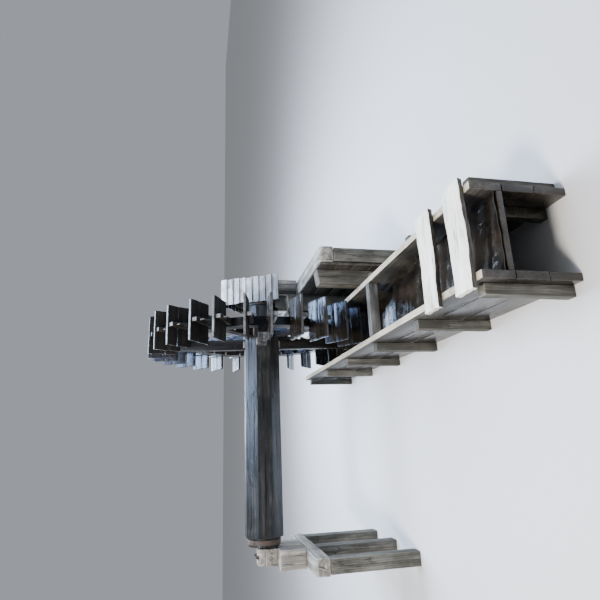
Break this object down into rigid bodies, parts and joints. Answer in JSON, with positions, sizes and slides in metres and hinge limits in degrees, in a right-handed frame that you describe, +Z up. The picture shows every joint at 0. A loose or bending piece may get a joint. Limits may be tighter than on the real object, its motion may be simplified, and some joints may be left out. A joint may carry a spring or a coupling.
{
  "type": "undershot water wheel",
  "caption": "Undershot timber water wheel with flat paddles on one rim, compass arms, long eight-sided shaft in two bearings, small roof over the outer bearing, plank race.",
  "frame": {"origin": "on the base plane the frame stands on, straight below the middle of the wheel", "axes": "+Z up, +X along the shaft to the roofed outboard bearing, +Y downstream"},
  "size_m": [3.542, 5.2, 3.0797],
  "materials": {
    "paddle_boards": "wet dark oak boards, water-stained, grain along the shaft",
    "starts": "dark wet oak with pale end grain",
    "wheel_timber": "weathered grey-brown oak, damp",
    "shaft_timber": "hewn octagonal oak, grey-brown, long drying cracks",
    "iron": "dark rusted wrought iron",
    "race_timber": "sawn plank, wet and dark inside, pale on top",
    "sawn_plank": "newer pale sawn plank",
    "roof_boards": "split boards, bleached silver grey",
    "bank_boards": "dark damp boards",
    "frame_timber": "weathered silver-grey squared timber"
  },
  "bodies": {
    "mill_frame": {"bank_boards": "bank_boards", "bank_posts": "frame_timber", "bearing_block_inboard": "frame_timber", "bearing_block_outboard": "frame_timber", "bearing_cap_inboard": "frame_timber", "bearing_cap_outboard": "frame_timber", "cover_planks": "sawn_plank", "cross_beam": "sawn_plank", "gable_board": "frame_timber", "head_joists": "race_timber", "pier_inboard": "frame_timber", "pier_outboard": "frame_timber", "pit_floor": "race_timber", "pit_joists": "race_timber", "race_apron": "race_timber", "race_floor": "race_timber", "race_stakes": "race_timber", "race_wall_left": "race_timber", "race_wall_right": "race_timber", "rafters": "frame_timber", "roof_downstream": "roof_boards", "roof_posts": "frame_timber", "roof_upstream": "roof_boards", "sill_beam_inboard": "frame_timber", "sill_beam_outboard": "frame_timber", "sill_posts_inboard": "frame_timber", "sill_posts_outboard": "frame_timber"},
    "wheel": {"shaft": "shaft_timber", "hoops": "iron", "gudgeon_outboard": "iron", "gudgeon_inboard": "iron", "arm_1": "wheel_timber", "arm_2": "wheel_timber", "arm_3": "wheel_timber", "arm_4": "wheel_timber", "felloe_1": "wheel_timber", "felloe_2": "wheel_timber", "felloe_3": "wheel_timber", "felloe_4": "wheel_timber", "starts_1": "starts", "starts_2": "starts", "starts_3": "starts", "starts_4": "starts", "paddles_1": "paddle_boards", "paddles_2": "paddle_boards", "paddles_3": "paddle_boards", "paddles_4": "paddle_boards"}
  },
  "joints": [
    {"name": "wheel_turn", "type": "hinge", "parent": "mill_frame", "child": "wheel", "pos_m": [0, 0, 1.64], "axis": [1, 0, 0], "continuous": true}
  ]
}
